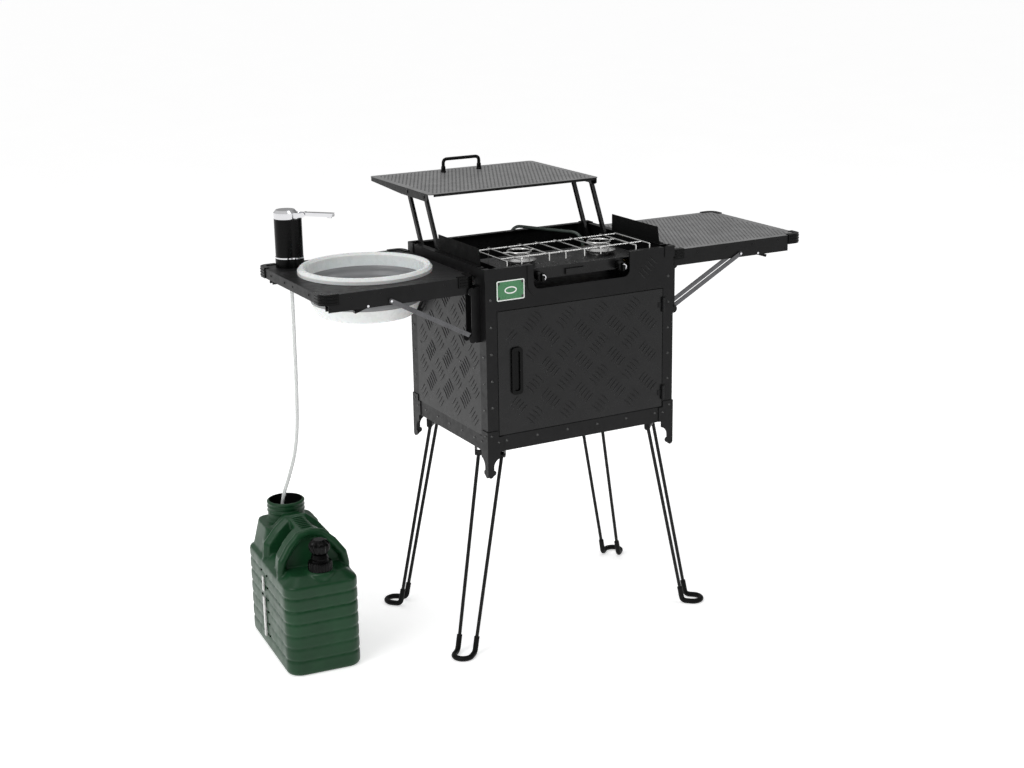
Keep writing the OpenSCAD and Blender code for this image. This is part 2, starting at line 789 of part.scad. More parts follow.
// one support channel under the shelf, pivoted on the wall plate
module shelf_arm(y) {
  a = pivot_a;
  w = shelf_arm_w;
  wall = 1.5;
  difference() {
    union() {
      slab([a[0], y - w, a[1] - 6], [shelf_arm_end, y + w, shelf_bottom]);
      bar_y([a[0], y, a[1]], 12, 2 * w);
    }
    slab([a[0] - 7, y - w + wall, a[1] - 8], [shelf_arm_end + 1, y + w - wall, shelf_bottom - 2]);
    bar_y([a[0], y, a[1]], pivot_bore_d + 0.1, 2 * w + 2);
  }
  bar_y([lever_pin[0], y, lever_pin[1]], 5, 2 * w + 1.6);
  bar_y([shelf_arm_end - 6, y, a[1]], 5, 2 * w + 1.6);
}

module shelf_arms() {
  for (y = bracket_y) shelf_arm(y);
}

// two flat bars beside each channel, pivoted at the foot of the wall plate
module shelf_braces() {
  for (y = bracket_y, s = [-1, 1]) translate([0, y, 0]) difference() {
    union() {
      translate([pivot_b[0], s * (brace_y[0] + brace_y[1]) / 2, pivot_b[1]])
        rotate([0, -brace_lift, 0]) translate([0, -1, -5]) cube([brace_len, 2, 10]);
      for (p = [pivot_b, brace_pin])
        bar_y([p[0], s * (brace_y[0] + brace_y[1]) / 2, p[1]], 10, 2);
      bar_y([brace_pin[0], s * (brace_y[1] + 0.75), brace_pin[1]], 6.5, 1.5);
    }
    bar_y([pivot_b[0], s * brace_y[0], pivot_b[1]], pivot_bore_d + 0.1, 8);
  }
}

// release levers inside the channels
module shelf_levers() {
  half = 5.5;
  for (y = bracket_y) upright(y - half, 2 * half) translate(lever_pin) difference() {
    union() {
      circle(d = 10);
      rotate(-18) translate([0, -4.4]) square([30, 6.4]);
    }
    circle(d = 5.1);
  }
}

// channel on the cabinet's side that carries one shelf bracket
module wall_plate(y) {
  z0 = base_z + 247;
  z1 = base_z + 369;
  slab([hx, y - ear_y[1], z0], [hx + 2, y + ear_y[1], z1]);
  for (s = [-1, 1]) translate([0, y + s * (ear_y[0] + ear_y[1]) / 2 - 1, 0]) {
    upright(0, 2) {
      translate([hx, z0 + 9]) square([21, z1 - z0 - 18]);
      translate([hx, z0]) square([12, z1 - z0]);
      for (z = [z0 + 9, z1 - 9]) translate([pivot_a[0] - 2, z]) circle(r = 9);
    }
  }
  bar_y([pivot_a[0], y, pivot_a[1]], pivot_bore_d, 2 * ear_y[1] + 2.4);
  for (s = [-1, 1])
    bar_y([pivot_b[0], y + s * (9.8 + ear_y[1] + 1.2) / 2, pivot_b[1]], pivot_bore_d,
      ear_y[1] + 1.2 - 9.8);
}

module wall_plates() placed() color(black) both_x() for (y = bracket_y) wall_plate(y);

module right_shelf_top() placed() color(black_soft) shelf_top(right_len);
module right_shelf_frame() placed() color(black) shelf_frame(right_len);
module right_shelf_guards() placed() color(plastic) shelf_guard(right_len);
module right_arms() placed() color(black) shelf_arms();
module right_braces() placed() color(black) shelf_braces();
module right_levers() placed() color(plastic) shelf_levers();

module left_shelf_top() placed() color(black_soft) difference() {
  mirror([1, 0, 0]) shelf_top(left_len);
  translate([basin_c[0], basin_c[1], shelf_z - 5]) cylinder(r = basin_hole_r, h = 10);
  translate([stem_c[0], stem_c[1], shelf_z - 5]) cylinder(d = 13, h = 10);
}
module left_shelf_frame() placed() color(black) mirror([1, 0, 0]) shelf_frame(left_len);
module left_shelf_guards() placed() color(plastic) mirror([1, 0, 0]) shelf_guard(left_len);
module left_arms() placed() color(black) mirror([1, 0, 0]) shelf_arms();
module left_braces() placed() color(black) mirror([1, 0, 0]) shelf_braces();
module left_levers() placed() color(plastic) mirror([1, 0, 0]) shelf_levers();

// ---------- basin ----------

// a turned part on the basin's axis, from its outline of [radius, height] points
module turned(points) {
  translate([basin_c[0], basin_c[1], 0]) rotate_extrude($fn = 96) polygon(points);
}

module basin_rim() placed() color(white) {
  r = basin_r;
  z = shelf_z;
  turned([
    [r - 13, z - 16], [r - 13, z], [r, z], [r, z + 7], [r - 5, z + 13],
    [r - 13, z + 13], [r - 16.5, z + 8], [r - 16.5, z - 16]
  ]);
}

module basin_sleeve() placed() color(basin_grey) {
  z0 = basin_floor_z + base_wall_h + 0.3;
  z1 = shelf_z - 16;
  turned([
    [basin_r - 26, z0], [basin_r - 15, z1], [basin_r - 17.5, z1], [basin_r - 28.5, z0]
  ]);
}

module basin_base() placed() color(white) {
  z = basin_floor_z;
  turned([
    [0, z], [104, z], [110, z + 5], [121, z + base_wall_h], [118.5, z + base_wall_h],
    [107, z + 7], [103, z + 2.5], [0, z + 2.5]
  ]);
}

// ---------- tap ----------

module tap_section(r, z0, z1) {
  translate([tap_c[0], tap_c[1], z0]) linear_extrude(z1 - z0) rotate(tap_dir) {
    circle(r = r);
    translate([lobe_s, 0]) circle(r = lobe_r + r - tap_r);
  }
}

module tap_body() placed() color(plastic) {
  tap_section(tap_r + 1, shelf_z, shelf_z + 20);
  tap_section(tap_r, shelf_z + 23, shelf_z + tap_h - 19);
  translate([tap_c[0], tap_c[1], shelf_z + 19]) cylinder(r = 20, h = 5);
  translate([stem_c[0], stem_c[1], 850]) cylinder(d = 12, h = shelf_z - 849);
}

// chrome ring, cap and the fork that holds the spout
module tap_chrome() placed() color(chrome) {
  difference() {
    tap_section(tap_r + 1, shelf_z + 20, shelf_z + 23);
    translate([tap_c[0], tap_c[1], shelf_z + 18]) cylinder(r = 20, h = 8);
  }
  z = shelf_z + tap_h - 19;
  translate([tap_c[0], tap_c[1], z]) {
    cylinder(r = tap_r, h = 13);
    translate([0, 0, 13]) cylinder(r1 = tap_r, r2 = tap_r - 5, h = 6);
    rotate([0, 0, tap_dir]) {
      translate([0, -9.5, 0.5]) cube([32, 19, 12]);
      for (s = [-1, 1]) translate([0, s * 9, 0]) upright(-1, 2) {
        translate([20, 4]) square([spout_s - 20, 9.5]);
        translate([spout_s, spout_z - z]) circle(d = 10);
      }
      bar_y([spout_s, 0, spout_z - z], spout_pin_d, 19);
    }
  }
}

module tap_spout() placed() color(chrome) {
  translate([tap_c[0], tap_c[1], spout_z]) rotate([0, 0, tap_dir]) translate([spout_s, 0, 0])
    difference() {
      union() {
        bar_y([0, 0, 0], 9.6, 15);
        translate([0, -7.5, -3]) cube([spout_len, 15, 7.8]);
        translate([spout_len - 8, 0, -6]) cylinder(r = 5, h = 4);
      }
      bar_y([0, 0, 0], spout_pin_d + 0.1, 20);
      translate([spout_len - 8, 0, -7]) cylinder(r = 3, h = 6);
    }
}

module water_hose() placed() color(clear_hose) {
  tube_along(smooth(water_route, 5), hose_d / 2, 10);
}

// ---------- legs ----------

// the corner bracket and its pin, for the corner in direction s
module leg_bracket() {
  translate(leg_top) rotate([0, 0, 135]) {
    translate([-34.2, -7, base_z - 2.5 - leg_top[2]]) cube([68.4, 14, 2.5]);
    translate([-22, -15, base_z - 2.5 - leg_top[2]]) cube([44, 30, 2.5]);
    for (s = [-1, 1]) translate([s * 33.2 - 1, -7, 0]) {
      cube([2, 14, base_z - 2 - leg_top[2]]);
      translate([1, 7, 0]) bar_x([0, 0, 0], 14, 2);
    }
    bar_x([0, 0, 0], leg_pin_d, 71);
  }
}

// one leg at the corner (+X, +Y): its cross bar and two rods
module leg_rods() {
  a = [cos(135), sin(135), 0];
  foot = [leg_foot[0], leg_foot[1], 0];
  dir = (leg_top - foot) / leg_top[2];
  low = foot + dir * sleeve_top_z;
  difference() {
    union() {
      translate(leg_top) rotate([0, 0, 135]) bar_x([0, 0, 0], leg_bar_d, leg_bar_l);
      for (s = [-1, 1])
        rod(leg_top + s * a * rod_gap_top / 2, low + s * a * rod_gap_foot / 2, rod_d);
    }
    translate(leg_top) rotate([0, 0, 135]) bar_x([0, 0, 0], leg_pin_d + 0.1, leg_bar_l + 2);
  }
}

// the rubber sleeve round the foot bend, which lies out along the floor
module leg_sleeve() {
  a = [cos(135), sin(135), 0];
  o = [cos(45), sin(45), 0];
  r = sleeve_d / 2;
  foot = [leg_foot[0], leg_foot[1], 0];
  dir = (leg_top - foot) / leg_top[2];
  half = rod_gap_foot / 2;
  heel = foot + dir * r;
  toe = foot + [0, 0, r] + o * foot_kick;
  low = foot + dir * sleeve_top_z;
  tube_along(concat(
    [for (k = [0, 0.8]) low + (heel - low) * k - a * half],
    [foot + [0, 0, r] + o * 5 - a * half],
    [for (t = [-90 : 18 : 90]) toe + half * (a * sin(t) + o * cos(t))],
    [foot + [0, 0, r] + o * 5 + a * half],
    [for (k = [0.8, 0]) low + (heel - low) * k + a * half]
  ), r, 12);
}

module at_corner(s) {
  mirror([s[0] < 0 ? 1 : 0, 0, 0]) mirror([0, s[1] < 0 ? 1 : 0, 0]) children();
}

module leg_brackets() placed() color(black) for (s = leg_signs) at_corner(s) leg_bracket();
module leg_fl_rods() placed() color(black) at_corner([-1, -1]) leg_rods();
module leg_fr_rods() placed() color(black) at_corner([1, -1]) leg_rods();
module leg_rl_rods() placed() color(black) at_corner([-1, 1]) leg_rods();
module leg_rr_rods() placed() color(black) at_corner([1, 1]) leg_rods();
module leg_fl_sleeve() placed() color(plastic) at_corner([-1, -1]) leg_sleeve();
module leg_fr_sleeve() placed() color(plastic) at_corner([1, -1]) leg_sleeve();
module leg_rl_sleeve() placed() color(plastic) at_corner([-1, 1]) leg_sleeve();
module leg_rr_sleeve() placed() color(plastic) at_corner([1, 1]) leg_sleeve();

// ---------- water can ----------

module in_can() {
  translate([can_c[0], can_c[1], 0]) rotate([0, 0, can_turn]) children();
}

module can_section(z0, z1, inset) {
  w = can_w / 2 - inset;
  l = can_l / 2 - inset;
  translate([0, 0, z0]) linear_extrude(z1 - z0) round_rect([-w, -l], [w, l], can_r - inset);
}

// flat block used as one end of a hull
module pad(w, y0, y1, z) {
  translate([-w, y0, z]) cube([2 * w, y1 - y0, 1]);
}

module can_body() placed() color(green) in_can() difference() {
  union() {
    can_section(0, can_h - 8, 2.5);
    edges = concat([0], rib_z, [can_h]);
    for (i = [0 : len(edges) - 2]) can_section(edges[i] + (i == 0 ? 0 : 5), edges[i + 1], 0);
    // front tower, back block and the handle between them
    hull() {
      pad(76, -92, -50, can_h - 2);
      pad(30, -70, -52, can_top - 20);
    }
    hull() {
      pad(78, 42, can_l / 2 - 6, can_h - 2);
      pad(62, 50, can_l / 2 - 14, can_h + 42);
    }
    hull() {
      pad(24, 42, 70, can_h + 40);
      pad(18, 42, 58, can_top - 18);
    }
    hull() {
      pad(14, -60, 50, can_top - 42);
      pad(18, -60, 50, can_top - 16);
    }
    translate([can_mouth[0], can_mouth[1], can_h + 40])
      cylinder(r = mouth_r - 2, h = can_top - can_h - 40);
    for (z = [can_top - 30, can_top - 18, can_top - 6])
      translate([can_mouth[0], can_mouth[1], z]) cylinder(r = mouth_r, h = 4);
    translate([spigot[0], spigot[1], can_h - 2]) cylinder(r = 29, h = 6);
  }
  can_section(can_wall, can_h - 5, can_wall + 2.5);
  hull() {
    pad(70, 49, can_l / 2 - 13, can_h - 6);
    pad(56, 57, can_l / 2 - 20, can_h + 37);
  }
  translate([can_mouth[0], can_mouth[1], can_h + 30]) cylinder(r = mouth_r - 5, h = 80);
}

// black screw-on tap: its collar and body
module can_spigot() placed() color(plastic) in_can() translate([spigot[0], spigot[1], can_h + 4]) {
  cylinder(r = 27, h = 20);
  translate([0, 0, 20]) cylinder(r1 = 20, r2 = 15, h = 20);
  translate([0, 0, 40]) cylinder(r = 5, h = 18);
}

module can_spigot_knob() placed() color(plastic) in_can()
  translate([spigot[0], spigot[1], can_h + 44.4]) difference() {
    union() {
      cylinder(r1 = 20, r2 = 24, h = 15);
      translate([0, 0, 15]) cylinder(r1 = 24, r2 = 16, h = 15);
    }
    translate([0, 0, -1]) cylinder(r = 5.05, h = 20);
  }

// sight tube on the can's left side, with its clip above
module level_gauge() placed() color(zinc) in_can() {
  x = -can_w / 2;
  slab([x - 3, 15, 31], [x, 27, 126]);
  slab([x - 2.5, 16, 141], [x, 26, 176]);
}

// ---------- output ----------

corner_posts();
cabinet_rails();
decks();
cabinet_panels();
front_fascia();
name_plate();
corner_castings();
cabinet_rivets();
wall_plates();
leg_brackets();
wind_guards();
stove_pan();
burners();
gas_fittings();
gas_hose();
rack_brackets();
door_hinge_leaves();
door_panel();
door_handle();
door_hinge_pins();
knob_left();
knob_right();
grate();
left_shelf_top();
left_shelf_frame();
left_shelf_guards();
left_arms();
left_braces();
left_levers();
basin_rim();
basin_sleeve();
basin_base();
tap_body();
tap_chrome();
tap_spout();
water_hose();
right_shelf_top();
right_shelf_frame();
right_shelf_guards();
right_arms();
right_braces();
right_levers();
rack_panel();
rack_handle();
rack_arms_front();
rack_arms_rear();
leg_fl_rods();
leg_fl_sleeve();
leg_fr_rods();
leg_fr_sleeve();
leg_rl_rods();
leg_rl_sleeve();
leg_rr_rods();
leg_rr_sleeve();
can_body();
can_spigot();
can_spigot_knob();
level_gauge();
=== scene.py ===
import json
import math

import bmesh
import bpy
from mathutils import Matrix, Vector


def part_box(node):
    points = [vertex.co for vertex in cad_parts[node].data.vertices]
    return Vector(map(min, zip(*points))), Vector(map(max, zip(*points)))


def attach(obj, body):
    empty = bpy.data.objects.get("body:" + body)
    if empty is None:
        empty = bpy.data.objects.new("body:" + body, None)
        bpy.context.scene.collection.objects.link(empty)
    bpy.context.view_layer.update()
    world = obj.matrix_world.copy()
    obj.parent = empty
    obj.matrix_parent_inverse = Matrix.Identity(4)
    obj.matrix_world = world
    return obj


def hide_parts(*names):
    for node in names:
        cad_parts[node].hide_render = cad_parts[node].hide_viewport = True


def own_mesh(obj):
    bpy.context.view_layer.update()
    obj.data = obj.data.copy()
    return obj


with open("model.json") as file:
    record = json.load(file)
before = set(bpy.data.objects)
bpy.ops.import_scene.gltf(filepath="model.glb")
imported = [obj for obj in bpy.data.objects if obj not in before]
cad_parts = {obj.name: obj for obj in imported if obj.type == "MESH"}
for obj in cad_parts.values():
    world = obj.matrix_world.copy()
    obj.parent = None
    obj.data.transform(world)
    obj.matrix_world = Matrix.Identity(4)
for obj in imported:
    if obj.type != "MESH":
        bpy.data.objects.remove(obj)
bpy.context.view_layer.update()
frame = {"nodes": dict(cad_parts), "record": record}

scene = bpy.context.scene
MM = 0.001

# the middle of the cabinet, on the floor: sizes below are in millimetres from here
posts_low, posts_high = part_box("corner_posts")
CENTRE = Vector(((posts_low.x + posts_high.x) / 2, (posts_low.y + posts_high.y) / 2, 0))
HALF_W = (posts_high.x - posts_low.x) / 2 / MM
HALF_D = (posts_high.y - posts_low.y) / 2 / MM


def at(x, y, z):
    """A point given in millimetres from the cabinet's centre line."""
    return CENTRE + Vector((x, y, z)) * MM


def box_mm(node):
    """A CAD node's corners, in millimetres from the cabinet's centre line."""
    low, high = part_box(node)
    return (low - CENTRE) / MM, (high - CENTRE) / MM


# ---------- camera ----------


def make_camera():
    camera = bpy.data.objects.new("camera", bpy.data.cameras.new("camera"))
    scene.collection.objects.link(camera)
    camera.data.sensor_width = 36
    camera.data.lens = 58.34
    turn, tilt, roll = math.radians(-28.6), math.radians(90 - 16.09), math.radians(-0.92)
    facing = Matrix.Rotation(turn, 4, "Z") @ Matrix.Rotation(tilt, 4, "X") @ Matrix.Rotation(roll, 4, "Z")
    camera.matrix_world = Matrix.Translation(at(-1844, -3240, 1624.6)) @ facing
    scene.camera = camera


make_camera()

# ---------- materials ----------


def node_material(
    name, colour, rough, metal=0.0, mottle=0.18, patch=25, grain=900, bump=0.2, streak=None, **sockets
):
    """A procedural finish: mottled colour, uneven gloss and a fine surface grain."""
    material = bpy.data.materials.new(name)
    material.use_nodes = True
    nodes, links = material.node_tree.nodes, material.node_tree.links
    shader = nodes["Principled BSDF"]
    coords = nodes.new("ShaderNodeTexCoord")
    mapping = nodes.new("ShaderNodeMapping")
    mapping.inputs["Scale"].default_value = streak or (1, 1, 1)
    links.new(coords.outputs["Object"], mapping.inputs["Vector"])

    def noise(scale, detail):
        made = nodes.new("ShaderNodeTexNoise")
        made.inputs["Scale"].default_value = scale
        made.inputs["Detail"].default_value = detail
        links.new(mapping.outputs["Vector"], made.inputs["Vector"])
        return made

    ramp = nodes.new("ShaderNodeValToRGB")
    ramp.color_ramp.elements[0].position = 0.3
    ramp.color_ramp.elements[1].position = 0.7
    for element, share in zip(ramp.color_ramp.elements, (1 - mottle, 1 + mottle)):
        element.color = [min(1, c * share) for c in colour] + [1]
    links.new(noise(patch, 5).outputs["Fac"], ramp.inputs["Fac"])
    links.new(ramp.outputs["Color"], shader.inputs["Base Color"])

    gloss = nodes.new("ShaderNodeMapRange")
    gloss.inputs["From Min"].default_value = 0.3
    gloss.inputs["From Max"].default_value = 0.7
    gloss.inputs["To Min"].default_value = max(0.02, rough * 0.82)
    gloss.inputs["To Max"].default_value = min(1, rough * 1.18)
    links.new(noise(patch * 2.7, 6).outputs["Fac"], gloss.inputs["Value"])
    links.new(gloss.outputs["Result"], shader.inputs["Roughness"])

    if bump:
        relief = nodes.new("ShaderNodeBump")
        relief.inputs["Strength"].default_value = bump
        relief.inputs["Distance"].default_value = 0.0004
        links.new(noise(grain, 3).outputs["Fac"], relief.inputs["Height"])
        links.new(relief.outputs["Normal"], shader.inputs["Normal"])
    shader.inputs["Metallic"].default_value = metal
    for socket, value in sockets.items():
        shader.inputs[socket.replace("_", " ")].default_value = value
    return material


LOOKS = {
    "steel_black": node_material(
        "steel_black", (0.006, 0.006, 0.0063), 0.38, grain=1100, bump=0.25, Specular_IOR_Level=0.18
    ),
    "sheet_black": node_material(
        "sheet_black", (0.007, 0.007, 0.0073), 0.3, grain=800, bump=0.12, Specular_IOR_Level=0.26
    ),
    # The perforated tops' own colour is dark steel; the mid grey of this base colour is painted sheen.
    "shelf_grey": node_material(
        "shelf_grey", (0.16, 0.16, 0.161), 0.4, grain=1300, bump=0.2, Specular_IOR_Level=0.9
    ),
    "plastic_black": node_material(
        "plastic_black", (0.002, 0.002, 0.002), 0.26, grain=700, bump=0.1, Specular_IOR_Level=0.12
    ),
    "rubber_black": node_material(
        "rubber_black", (0.002, 0.002, 0.002), 0.5, grain=1500, bump=0.4, Specular_IOR_Level=0.15
    ),
    "chrome": node_material("chrome", (0.78, 0.78, 0.8), 0.1, 1, mottle=0.03, bump=0.02),
    "steel_wire": node_material("steel_wire", (0.6, 0.6, 0.59), 0.27, 1, mottle=0.1, patch=60, bump=0.05),
    "brass": node_material("brass", (0.68, 0.52, 0.25), 0.3, 1, mottle=0.15, patch=80, bump=0.05),
    "plate_green": node_material("plate_green", (0.045, 0.19, 0.075), 0.3, mottle=0.1, bump=0.05),
    "basin_white": node_material(
        "basin_white", (0.8, 0.81, 0.805), 0.28, mottle=0.03, grain=500, bump=0.05, Subsurface_Weight=0.1
    ),
    "basin_grey": node_material("basin_grey", (0.22, 0.225, 0.23), 0.4, mottle=0.06, grain=900, bump=0.1),
    "can_green": node_material(
        "can_green", (0.007, 0.045, 0.016), 0.36, mottle=0.16, patch=14, grain=520, Specular_IOR_Level=0.26
    ),
    "gauge": node_material("gauge", (0.6, 0.6, 0.58), 0.25, mottle=0.2, patch=120, bump=0.1),
    "hose_clear": node_material(
        "hose_clear", (0.78, 0.8, 0.79), 0.22, mottle=0.04, bump=0.03, Transmission_Weight=0.35
    ),
    "hose_rubber": node_material("hose_rubber", (0.04, 0.055, 0.047), 0.4, mottle=0.12, patch=40),
}
EXTRA = {
    "brace_steel": node_material("brace_steel", (0.11, 0.11, 0.115), 0.22, 0.9, mottle=0.15, patch=60),
    "plate_white": node_material("plate_white", (0.86, 0.87, 0.85), 0.4, mottle=0.04, bump=0.05),
    # A flat near-black: painted shade on the decks, inside the can's mouth and on the can's groove dimples; on the wind
    # guards it is their own black.
    "black_and_painted_shade": node_material("black_and_painted_shade", (0.003, 0.003, 0.003), 0.6, mottle=0.1, Specular_IOR_Level=0.1),
    "rivet_black": node_material("rivet_black", (0.006, 0.006, 0.006), 0.2, mottle=0.1, Specular_IOR_Level=0.6),
    "top_black": node_material(
        "top_black", (0.007, 0.007, 0.0073), 0.42, grain=1300, bump=0.2, Specular_IOR_Level=0.18
    ),
}
# CAD nodes that take another look than their slot's usual finish; the decks are painted near-black as painted shade in
# the dark space under the stove's front plate
SWAPPED_LOOKS = {
    "left_braces": "brace_steel", "right_braces": "brace_steel", "decks": "black_and_painted_shade",
    "cabinet_rivets": "rivet_black", "left_shelf_top": "top_black", "wind_guards": "black_and_painted_shade",
}


def paint_cad_nodes():
    """Every CAD node takes the look of the slot that the record names for it."""
    for part in frame["record"]["subparts"]:
        swapped = SWAPPED_LOOKS.get(part["node"])
        look = EXTRA[swapped] if swapped else LOOKS[part["material_slot"]]
        mesh = frame["nodes"][part["node"]].data
        mesh.materials.clear()
        mesh.materials.append(look)


paint_cad_nodes()

# ---------- making pieces ----------


def second_look(name, look, chosen):
    """Gives some faces of a piece another look."""
    mesh = bpy.data.objects[name].data
    mesh.materials.append(look)
    for face in mesh.polygons:
        if chosen(face):
            face.material_index = 1


def place(name, mesh, body, slot, stands_for=(), look=None, angle=32):
    """Puts a finished mesh in the scene, shades it and makes it ride on its body."""
    mesh.polygons.foreach_set("use_smooth", [True] * len(mesh.polygons))
    mesh.set_sharp_from_angle(angle=math.radians(angle))
    mesh.materials.clear()
    mesh.materials.append(EXTRA[look] if look else LOOKS[slot])
    piece = bpy.data.objects.new(name, mesh)
    scene.collection.objects.link(piece)
    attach(piece, body)
    if stands_for:
        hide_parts(*stands_for)
    return piece


def finish_mesh(name, bm):
    bmesh.ops.recalc_face_normals(bm, faces=bm.faces)
    mesh = bpy.data.meshes.new(name)
    bm.to_mesh(mesh)
    bm.free()
    return mesh


def prism(bm, outline, depth):
    """A closed solid: a flat outline of points pushed along a vector."""
    near = [bm.verts.new(p) for p in outline]
    far = [bm.verts.new(p + depth) for p in outline]
    bm.faces.new(near)
    bm.faces.new(far[::-1])
    for i in range(len(near)):
        j = (i + 1) % len(near)
        bm.faces.new((near[i], far[i], far[j], near[j]))


def solid_box(bm, low, high):
    corners = [(low[0], low[1]), (high[0], low[1]), (high[0], high[1]), (low[0], high[1])]
    prism(bm, [at(x, y, low[2]) for x, y in corners], Vector((0, 0, (high[2] - low[2]) * MM)))


def loft(bm, rings, closed=True, capped=True):
    """Joins rings of equally many points into a skin."""
    rows = [[bm.verts.new(p) for p in ring] for ring in rings]
    count = len(rows[0])
    for a, b in zip(rows, rows[1:]):
        for i in range(count if closed else count - 1):
            j = (i + 1) % count
            bm.faces.new((a[i], a[j], b[j], b[i]))
    if capped:
        bm.faces.new(rows[0][::-1])
        bm.faces.new(rows[-1])


def tube(bm, points, radius, sides=16):
    """A round tube along a list of points, with flat ends."""
    rings = []
    side = None
    for i, p in enumerate(points):
        along = (points[min(i + 1, len(points) - 1)] - points[max(i - 1, 0)]).normalized()
        if side is None:
            side = along.orthogonal().normalized()
        side = (side - along * side.dot(along)).normalized()
        other = along.cross(side)
        angles = [2 * math.pi * k / sides for k in range(sides)]
        rings.append([p + (side * math.cos(a) + other * math.sin(a)) * radius for a in angles])
    loft(bm, rings)


def turned(bm, centre, outline, segments=96):
    """A closed turned solid from its outline of (radius, height) points, in millimetres."""
    rings = []
    for k in range(segments):
        a = 2 * math.pi * k / segments
        rings.append([at(centre[0] + r * math.cos(a), centre[1] + r * math.sin(a), z) for r, z in outline])
    rows = [[bm.verts.new(p) for p in ring] for ring in rings]
    for k in range(segments):
        a, b = rows[k], rows[(k + 1) % segments]
        for i in range(len(outline)):
            j = (i + 1) % len(outline)
            bm.faces.new((a[i], b[i], b[j], a[j]))


def arc(centre, radius, start, end, steps):
    """Points (a, b) on an arc, with angles in degrees."""
    turns = [math.radians(start + (end - start) * k / steps) for k in range(steps + 1)]
    return [(centre[0] + radius * math.cos(t), centre[1] + radius * math.sin(t)) for t in turns]


def round_rect(low, high, r, steps=6):
    """The outline of a flat rectangle with round corners, anticlockwise."""
    (x0, y0), (x1, y1) = low, high
    return [
        *arc((x1 - r, y1 - r), r, 0, 90, steps),
        *arc((x0 + r, y1 - r), r, 90, 180, steps),
        *arc((x0 + r, y0 + r), r, 180, 270, steps),
        *arc((x1 - r, y0 + r), r, 270, 360, steps),
    ]


# ---------- hoses ----------


def smooth(route, steps):
    """The same curve through the route points as in the CAD, closely stepped."""
    points = []
    for i in range(len(route) - 1):
        a, b = route[max(i - 1, 0)], route[i]
        c, d = route[i + 1], route[min(i + 2, len(route) - 1)]
        for k in range(steps):
            t = k / steps
            points.append(
                0.5 * (2 * b + (c - a) * t + (2 * a - 5 * b + 4 * c - d) * t**2 + (3 * b - a - 3 * c + d) * t**3)
            )
    return points + [route[-1]]


def hose(name, route, diameter, slot, node):
    points = smooth([at(*p) for p in route], 8)
    bm = bmesh.new()
    tube(bm, points, diameter / 2, 20)
    piece = place(name, finish_mesh(name, bm), "cabinet", slot, (node,))


WATER_ROUTE = [
    (-548, 150, 849.7), (-548, 150, 820), (-547, 152, 760), (-546, 156, 700),
    (-545, 161, 600), (-547, 164, 500), (-556, 165, 430), (-573, 165, 375),
    (-588, 165, 335), (-595, 165, 295), (-599, 163, 240), (-600, 158, 160),
    (-599, 150, 90), (-597, 142, 30),
]
GAS_ROUTE = [
    (130, 24, 858.9), (129, 26, 870.1), (126, 31.6, 879.6), (121.6, 40.1, 886),
    (116.4, 50.1, 888.2), (110.4, 61.8, 888.2), (98.2, 85.2, 888.2), (86, 108.6, 888.2),
    (73.9, 132.1, 888.2), (61.7, 155.5, 888.2), (49.6, 178.9, 888.2), (44.4, 188.9, 886),
    (40, 197.4, 879.6), (37, 203, 870.1), (36, 205, 858.9), (36, 205, 844.9),
    (36, 205, 826.4),
]
hose("water_tube", WATER_ROUTE, 0.008, "hose_clear", "water_hose")
hose("gas_tube", GAS_ROUTE, 0.0075, "hose_rubber", "gas_hose")

# ---------- tread plate ----------

TREAD_PITCH = (85, 72)
BAR_LENGTH, BAR_WIDTH, BAR_HEIGHT, BAR_STEP = 33, 4.4, 1.1, 10.5


def tread_bar(bm, centre, along, across, out):
    """One raised bar of the tread: a lens with a rounded crest."""
    half = 7
    rings = []
    for lift, length, width in ((-0.2, 1, 1), (0.35, 0.95, 0.86), (0.8, 0.84, 0.6), (1, 0.7, 0.3)):
        ring = []
        for side in (1, -1):
            for i in range(half):
                s = side * (2 * i / half - 1)
                bow = BAR_WIDTH / 2 * (1 - s * s) * side * width
                ring.append(
                    centre + (along * (s * BAR_LENGTH / 2 * length) + across * bow + out * lift * BAR_HEIGHT) * MM
                )
        rings.append(ring)
    loft(bm, rings)


def tread(name, body, u_range, v_range, first, place_uv, out, keep_clear=()):
    """Groups of five bars, turned one way and the other, over a flat rectangle."""
    bm = bmesh.new()
    origin = place_uv(0, 0)
    u_dir = (place_uv(1, 0) - origin).normalized()
    v_dir = (place_uv(0, 1) - origin).normalized()

    def fits(u, v):
        inside = u_range[0] < u < u_range[1] and v_range[0] < v < v_range[1]
        return inside and not any(a < u < c and b < v < d for a, b, c, d in keep_clear)

    for row in range(-14, 15):
        for column in range(-8, 9):
            lean = 1 if row % 2 else -1
            u0 = first[0] + (column + (0.5 if row % 2 else 0)) * TREAD_PITCH[0]
            v0 = first[1] + row * TREAD_PITCH[1] / 2
            angle = math.radians(45 * lean)
            for k in range(-2, 3):
                u = u0 - math.sin(angle) * k * BAR_STEP
                v = v0 + math.cos(angle) * k * BAR_STEP
                du, dv = math.cos(angle) * BAR_LENGTH / 2, math.sin(angle) * BAR_LENGTH / 2
                if fits(u, v) and fits(u + du, v + dv) and fits(u - du, v - dv):
                    along = u_dir * math.cos(angle) + v_dir * math.sin(angle)
                    across = v_dir * math.cos(angle) - u_dir * math.sin(angle)
                    tread_bar(bm, place_uv(u, v), along, across, out)
    place(name, finish_mesh(name, bm), body, "sheet_black", angle=60)


